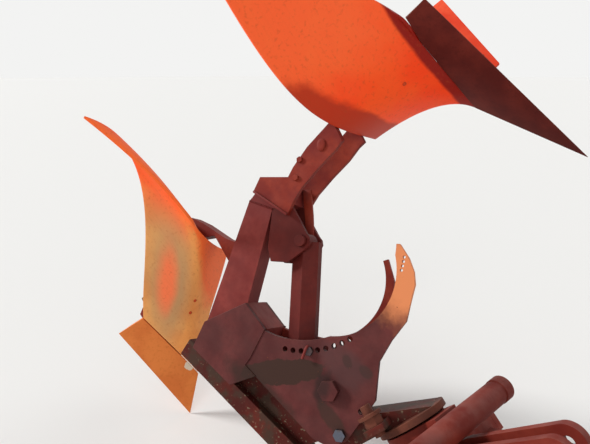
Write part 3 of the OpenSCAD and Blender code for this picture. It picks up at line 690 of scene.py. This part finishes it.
# %% Frogs, landsides, shares, pins and bolts
WORKING_PARTS = {
    "lower_frog": (frog_paint, 3.0, 2, "frog_steel"),
    "upper_frog": (frog_paint, 3.0, 2, "frog_steel"),
    "lower_landside": (landside_rust, 1.5, 2, "landside_steel"),
    "upper_landside": (lit_landside_paint, 1.5, 2, "landside_steel"),
    "lower_share": (share_rust, 0.8, 1, "share_steel"),
    "upper_share": (share_in_painted_shade, 0.8, 1, "share_steel"),
    "lower_link_pin_left": (pin_steel, 1.5, 2, "bare_steel"),
    "lower_link_pin_right": (pin_steel, 1.5, 2, "bare_steel"),
    "turnover_shaft": (shaft_rust, 1.5, 2, "bare_steel"),
    "cross_pin": (lever_paint, 1.5, 2, "bare_steel"),
    "shaft_end_nut": (shaft_rust, 1.5, 2, "fastener_steel"),
    "lock_bolt": (bolt_steel, 1.5, 2, "fastener_steel"),
    "pivot_bolt": (plate_paint, 1.5, 2, "fastener_steel"),
    "shear_bolt": (zinc_steel, 1.5, 2, "fastener_steel"),
    "adjusting_screw": (shaft_rust, 1.5, 2, "fastener_steel")}
for node in frame["nodes"]:
    if node in WORKING_PARTS:
        finish, width_mm, segments, slot = WORKING_PARTS[node]
        softened(node, finish, width_mm, segments)
print("working parts", len(WORKING_PARTS))

# %% [markdown]
# ## The edges of a mouldboard
# A mouldboard is pressed plate: hollow along the shin, twisted towards its tail. It could be
# sculpted, or lofted from sections. Here its four edges say all of its form. Each is a Bezier
# curve, with its ends and two handles in millimetres from the tip of the share. The two bodies
# have the shin's top, the crest and the tail alike, and differ along the seam with the share.

# %% The four edge curves
SHIN_TOP = Vector((-543, 0, 557))
TAIL_LOW, TAIL_TOP = Vector((-996, -726, 646)), Vector((-996, -726, 706))
CREST = (SHIN_TOP, (-505, -399, 654), (-591, -414, 771), TAIL_TOP)
# From here on the first entry is the lower body's, the second the upper body's.
SEAM_IN = (Vector((-140, 0, 135)), Vector((-400, 0, 180)))
SEAM_OUT = (Vector((-434, -224, 146)), Vector((-690, -350, 235)))
SHIN = ((SEAM_IN[0], (-300, 0, 215), (-415, 0, 370), SHIN_TOP),
        (SEAM_IN[1], (-490, 0, 225), (-540, 0, 350), SHIN_TOP))
OUTER = ((SEAM_OUT[0], (-604, -305, 271), (-901, -410, 723), TAIL_LOW),
         (SEAM_OUT[1], (-820, -450, 230), (-990, -590, 420), TAIL_LOW))


print("crest from", list(SHIN_TOP), "to", list(TAIL_TOP))

# %% [markdown]
# ## The face between the edges
# Every point of the face is a blend of the four edges: the two rulings between opposite edges,
# less the flat patch between the corners, which both of them hold. The solid was drawn this way
# too. The upper body is the same thing hung upside down on the other side of the axis.

# %% Points of the face
TIP_TO_AXIS = 983
LANDSIDE_Y = 200


def along(points, t):
    a, b, c, d = (Vector(p) for p in points)
    return (1 - t) ** 3 * a + 3 * t * (1 - t) ** 2 * b + 3 * t * t * (1 - t) * c + t ** 3 * d


def board_point(upper, u, v):
    """A point of the board's face: u runs from the shin to the tail, v from the seam up."""
    corners = ((1 - u) * (1 - v) * SEAM_IN[upper] + u * (1 - v) * SEAM_OUT[upper]
               + (1 - u) * v * SHIN_TOP + u * v * TAIL_LOW)
    seam = SEAM_IN[upper].lerp(SEAM_OUT[upper], u)
    edges = ((1 - v) * seam + v * along(CREST, u)
             + (1 - u) * along(SHIN[upper], v) + u * along(OUTER[upper], v))
    return edges - corners - u * v * v * (TAIL_TOP - TAIL_LOW)


def from_tip(point, upper):
    """Brings a point from a share's tip to the level drawing. The upper body is upside down."""
    height = point.z - TIP_TO_AXIS
    return Vector((point.x, point.y + LANDSIDE_Y, -height if upper else height))


print("middle of the lower board", [round(c) for c in board_point(0, 0.5, 0.5)])

# %% [markdown]
# ## The two mouldboards
# A flat grid is bent onto the blend. Before that, each point's place on the grid is kept as the
# flow map for the wear. Solidify then gives the sheet its wall, and a Bevel rounds the rim. The
# solids need a small gap at the seam and behind the shin, which a real board laps over, so each
# sheet reaches a little past its curves there.

# %% Mouldboard pieces
BOARD_WALL = 12
COLUMNS, ROWS = 64, 48


def mouldboard(name, material, upper, shin_lap, seam_lap):
    """The laps are shares of the board's length and height. The shin's is widest at half height."""
    bm = bmesh.new()
    bmesh.ops.create_grid(bm, x_segments=COLUMNS, y_segments=ROWS, size=1)
    flow = bm.loops.layers.uv.new("flow")
    for face in bm.faces:
        for loop in face.loops:
            loop[flow].uv = ((loop.vert.co.x + 1) / 2, (loop.vert.co.y + 1) / 2)
    for vert in bm.verts:
        across, up = (vert.co.x + 1) / 2, (vert.co.y + 1) / 2
        u = across - shin_lap * (1 - across) * 4 * up * (1 - up)
        point = board_point(upper, u, up - seam_lap * (1 - up))
        vert.co = at_swing(*from_tip(point, upper))
    if not upper:
        bmesh.ops.reverse_faces(bm, faces=bm.faces)
    made = as_piece(bm, name + "_piece", material, "swing_frame")
    wall = made.modifiers.new("plate", "SOLIDIFY")
    wall.thickness = BOARD_WALL * MM
    wall.offset = -1
    rim = made.modifiers.new("ground rim", "BEVEL")
    rim.width = 2 * MM
    rim.segments = 2
    rim.limit_method = "ANGLE"
    rim.angle_limit = math.radians(50)
    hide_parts(name)
    return made


BOARDS = (("lower_moldboard", lower_paint, 0, 0.06, 0.0),
          ("upper_moldboard", upper_paint, 1, 0.0, 0.025))
for name, material, upper, shin_lap, seam_lap in BOARDS:
    made = mouldboard(name, material, upper, shin_lap, seam_lap)

# %% [markdown]
# ## Small things
# Welds, bolt heads and the bent handle of the lock pin are small, but a plough without them looks
# cast in one piece. They are drawn in millimetres on the level drawing, where they are easy to
# place, and set down on the parked plough at the end.

# %% Setting a drawn piece down


def set_down(bm, name, material, body="swing_frame", place=at_swing):
    """Moves a bmesh from millimetres to its parked place and makes it a piece."""
    bmesh.ops.remove_doubles(bm, verts=bm.verts, dist=0.01)
    bmesh.ops.recalc_face_normals(bm, faces=bm.faces)
    for vert in bm.verts:
        vert.co = place(*vert.co)
    made = as_piece(bm, name, material, body)
    print(name, len(made.data.polygons), "faces")
    return made


print("one millimetre of the drawing is", MM, "m")

# %% [markdown]
# ## Heads
# Bolt heads, nuts, bosses and plugs are all turned or forged about one axis. Each starts as a
# circle whose rim is extruded, scaled and lifted ring by ring, and is closed at the crown. Six
# sides make a hexagon, many make it round.

# %% A head built of rings


def head(bm, centre, normal, rings, sides):
    """Adds a round or six sided head. The rings give its radius and height from foot to crown."""
    verts = bmesh.ops.create_circle(bm, segments=sides, radius=1, cap_ends=False)["verts"]
    rim = list({edge for vert in verts for edge in vert.link_edges})
    made = set(verts)
    radius, height = rings[0]
    bmesh.ops.scale(bm, verts=verts, vec=(radius, radius, 1))
    for next_radius, next_height in rings[1:]:
        grown = bmesh.ops.extrude_edge_only(bm, edges=rim)["geom"]
        verts = [g for g in grown if isinstance(g, bmesh.types.BMVert)]
        rim = [g for g in grown if isinstance(g, bmesh.types.BMEdge)]
        factor = next_radius / radius
        bmesh.ops.scale(bm, verts=verts, vec=(factor, factor, 1))
        bmesh.ops.translate(bm, verts=verts, vec=(0, 0, next_height - height))
        radius, height = next_radius, next_height
        made.update(verts)
    bmesh.ops.contextual_create(bm, geom=rim)
    turned = Vector(normal).to_track_quat("Z", "Y").to_matrix()
    bmesh.ops.rotate(bm, verts=list(made), matrix=turned)
    bmesh.ops.translate(bm, verts=list(made), vec=centre)
    return list(made)


print("heads face along any direction that they are given")

# %% [markdown]
# ## Weld beads
# A welder lays a bead drop by drop, so its surface is a row of overlapping scales. A round bar
# would look like a pipe. Each drop here is a small ball, flattened and a little uneven in width,
# and the next one starts before it ends.

# %% Weld beads
random.seed(7)
DROP_STEP = 0.62
DROP_LONG, DROP_HIGH, UNEVEN = 0.72, 0.8, 0.08


def weld(name, material, runs, width_mm):
    """Rows of drops along each run of points on the level drawing."""
    bm = bmesh.new()
    for run in runs:
        for first, last in zip(run, run[1:]):
            first, last = Vector(first), Vector(last)
            drops = max(2, round((last - first).length / (width_mm * DROP_STEP)))
            heading = (last - first).to_track_quat("X", "Z").to_matrix()
            for k in range(drops):
                drop = bmesh.ops.create_icosphere(bm, subdivisions=2, radius=width_mm / 2)["verts"]
                wide = 1.0 + random.uniform(-UNEVEN, UNEVEN)
                bmesh.ops.scale(bm, verts=drop, vec=(DROP_LONG, wide, DROP_HIGH))
                bmesh.ops.rotate(bm, verts=drop, matrix=heading)
                bmesh.ops.translate(bm, verts=drop, vec=first.lerp(last, (k + 0.5) / drops))
    set_down(bm, name, material)


FOOT_SEAM = ((-74, -295), (-14, -404), (-2, -437), (54, -418))
KNEE_SEAM = ((-547, -104), (-457, -37))
WEB_SEAM = ((30, -535), (350, -406))
PLATE_FACE, ARM_FACE, WEB_FACE = 90, -70, 13
weld("foot_welds", plate_paint,
     [[(x, side * PLATE_FACE, z) for x, z in FOOT_SEAM] for side in (-1, 1)], 9)
weld("knee_welds", arm_paint, [[(x, ARM_FACE, z) for x, z in KNEE_SEAM]], 10)
weld("web_welds", bar_paint,
     [[(x, side * WEB_FACE, z) for x, z in WEB_SEAM] for side in (-1, 1)], 9)

# %% [markdown]
# ## Bolts and boss on the leg
# Two hexagon heads hold the near leg plate, and a boss sits above them. It was turned and then
# pressed long, so it is a round head that is stretched and leant along the leg.

# %% Leg bolts and boss
LEG_FACE = -90
LEG_BOLTS = ((-542, 166), (-492, 115))
bm = bmesh.new()
for x, z in LEG_BOLTS:
    head(bm, (x, LEG_FACE, z), (0, -1, 0), ((13, 0), (13, 7), (11, 9)), 6)
set_down(bm, "leg_bolts", leg_paint)

BOSS_STRETCH, BOSS_LEAN, BOSS_AT = 1.42, math.radians(35), (-536, LEG_FACE, 266)
bm = bmesh.new()
verts = head(bm, (0, 0, 0), (0, -1, 0), ((17, 0), (17, 5), (14.5, 7), (8, 7.5)), 40)
bmesh.ops.scale(bm, verts=verts, vec=(BOSS_STRETCH, 1, 1))
bmesh.ops.rotate(bm, verts=verts, matrix=Matrix.Rotation(BOSS_LEAN, 3, "Y"))
bmesh.ops.translate(bm, verts=verts, vec=BOSS_AT)
set_down(bm, "leg_boss", leg_paint)

# %% [markdown]
# ## The flange on the knee
# A narrow bar of flat steel is welded along the knee's top edge. It starts as a cube, because an
# upright bar is easy to size, gets every edge rounded, and is then leant by its rise over its run.

# %% Knee flange
FLANGE, FLANGE_RISE, FLANGE_RUN, FLANGE_AT = (178, 14, 9), 71, 165, (-473, LEG_FACE - 6, -24)
bm = bmesh.new()
flange = bmesh.ops.create_cube(bm, size=1)["verts"]
bmesh.ops.scale(bm, verts=flange, vec=FLANGE)
bmesh.ops.bevel(bm, geom=list(bm.edges), offset=2, segments=2, profile=0.5, affect="EDGES",
                material=-1)
bmesh.ops.rotate(bm, verts=bm.verts,
                 matrix=Matrix.Rotation(-math.atan2(FLANGE_RISE, FLANGE_RUN), 3, "Y"))
bmesh.ops.translate(bm, verts=bm.verts, vec=FLANGE_AT)
set_down(bm, "knee_flange", arm_paint)

# %% [markdown]
# ## The strap beyond the lever
# A second, thinner plate runs down beside the adjusting lever from the legs. It is flame cut from
# sheet, so it is made as one: its outline becomes a face, the face is extruded to a wall, and all
# edges get a small round.

# %% The strap
STRAP = ((-491, 82), (-469, 111), (-376, 63), (-277, 6), (-107, -75), (-68, -109), (-66, -135),
         (-98, -136), (-178, -76), (-294, -19), (-397, 34))
STRAP_FROM, STRAP_WALL = 36, 14
bm = bmesh.new()
outline = [bm.verts.new((x, STRAP_FROM, z)) for x, z in STRAP]
bmesh.ops.contextual_create(bm, geom=outline)
grown = bmesh.ops.extrude_face_region(bm, geom=list(bm.faces), use_keep_orig=True)["geom"]
bmesh.ops.translate(bm, verts=[g for g in grown if isinstance(g, bmesh.types.BMVert)],
                    vec=(0, STRAP_WALL, 0))
bmesh.ops.recalc_face_normals(bm, faces=bm.faces)
bmesh.ops.bevel(bm, geom=list(bm.edges), offset=2, segments=2, profile=0.5, affect="EDGES",
                material=-1)
set_down(bm, "lever_strap", leg_paint)

# %% [markdown]
# ## The bent handle of the lock pin
# The pin in the row of holes ends in a bent round bar to pull it by. A bar is bent by turning it
# about a point beside it, and spin does the same: it sweeps a circle a quarter turn about such a
# point, and the last ring is then drawn out straight.

# %% The handle
PIN_AT, PIN_R = Vector((66, -100, -169)), 5
BEND_ABOUT, BEND_AXIS = Vector((7, 0, -9)), (0.79, 0, 0.61)
HANDLE_REACH = (21, 0, -28)
bm = bmesh.new()
ring = bmesh.ops.create_circle(bm, segments=16, radius=PIN_R)["verts"]
bmesh.ops.rotate(bm, verts=ring, matrix=Matrix.Rotation(math.radians(90), 3, "X"))
bmesh.ops.translate(bm, verts=ring, vec=PIN_AT)
bend = bmesh.ops.spin(bm, geom=list(bm.edges), cent=PIN_AT + BEND_ABOUT, axis=BEND_AXIS,
                      angle=math.radians(90), steps=8)
front = [g for g in bend["geom_last"] if isinstance(g, bmesh.types.BMEdge)]
drawn_out = bmesh.ops.extrude_edge_only(bm, edges=front)["geom"]
bmesh.ops.translate(bm, verts=[g for g in drawn_out if isinstance(g, bmesh.types.BMVert)],
                    vec=HANDLE_REACH)
bmesh.ops.contextual_create(bm, geom=[g for g in drawn_out if isinstance(g, bmesh.types.BMEdge)])
set_down(bm, "lock_pin_handle", arm_paint)

# %% [markdown]
# ## Plough bolts
# Boards are held by bolts with sunk heads, flush with the face so that soil slides over them, and
# a nut behind. The board's own form gives each one's place and the direction of its shank: the
# cross product of one short step along u and one along v stands square on the face.

# %% Plough bolts
# Body, 0 lower and 1 upper, and the place on the flow map.
BOLT_PLACES = ((1, 0.35, 0.48), (0, 0.30, 0.37), (0, 0.27, 0.48))
STEP = 0.01
SUNK_HEAD = ((7.5, -1), (7.5, 0.7), (6, 1.2), (5.5, 0.3))
NUT = ((11, -1), (11, 8), (9.5, 10))
bm = bmesh.new()
for upper, u, v in BOLT_PLACES:
    at = board_point(upper, u, v)
    outward = (board_point(upper, u + STEP, v) - at).cross(board_point(upper, u, v + STEP) - at)
    shank = outward.normalized()
    verts = head(bm, at, -shank, SUNK_HEAD, 24)
    verts += head(bm, at + BOARD_WALL * shank, shank, NUT, 6)
    for vert in verts:
        vert.co = from_tip(vert.co, upper)
set_down(bm, "plough_bolts", bolt_head_paint)

# %% [markdown]
# ## The turnover cylinder
# The swinging frame is turned by a closed hydraulic cylinder across the headstock. It is a lathe
# job: a tube between two screwed caps with a groove at each. So one profile, half of it drawn and
# the other half mirrored, is spun round its axis. Each cap has a plug where oil goes in.

# %% Cylinder spun from its profile
low, high = (Vector(corner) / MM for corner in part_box("turnover_cylinder"))
CYLINDER_R, HALF_LENGTH = (high.x - low.x) / 2, (high.y - low.y) / 2
CAP = 46
PORT_INSET, PORT = 24, ((13, 0), (13, 1.5), (11, 2))
profile = ((0, -HALF_LENGTH), (CYLINDER_R - 14, -HALF_LENGTH),
           (CYLINDER_R - 12, -HALF_LENGTH + 3), (CYLINDER_R - 3, -HALF_LENGTH + 3),
           (CYLINDER_R, -HALF_LENGTH + 6), (CYLINDER_R, CAP - HALF_LENGTH),
           (CYLINDER_R - 4, CAP - HALF_LENGTH + 3), (CYLINDER_R - 4, CAP - HALF_LENGTH + 9),
           (CYLINDER_R - 2, CAP - HALF_LENGTH + 11))
bm = bmesh.new()
chain = [bm.verts.new((r, y, 0)) for r, y in profile]
chain += [bm.verts.new((r, -y, 0)) for r, y in reversed(profile)]
for first, last in zip(chain, chain[1:]):
    bm.edges.new((first, last))
bmesh.ops.spin(bm, geom=list(bm.verts) + list(bm.edges), cent=(0, 0, 0), axis=(0, 1, 0),
               angle=math.radians(360), steps=64, use_merge=True)
bmesh.ops.remove_doubles(bm, verts=bm.verts, dist=0.01)
for side in (-1, 1):
    head(bm, (0, side * (HALF_LENGTH - PORT_INSET), CYLINDER_R - 2), (0, 0, 1), PORT, 6)
bmesh.ops.translate(bm, verts=bm.verts, vec=(low + high) / 2)
cylinder = set_down(bm, "turnover_cylinder_piece", headstock_paint, "headstock",
                    lambda x, y, z: Vector((x, y, z)) * MM)
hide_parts("turnover_cylinder")
print("cylinder", round(CYLINDER_R), "mm radius,", round(2 * HALF_LENGTH), "mm long")
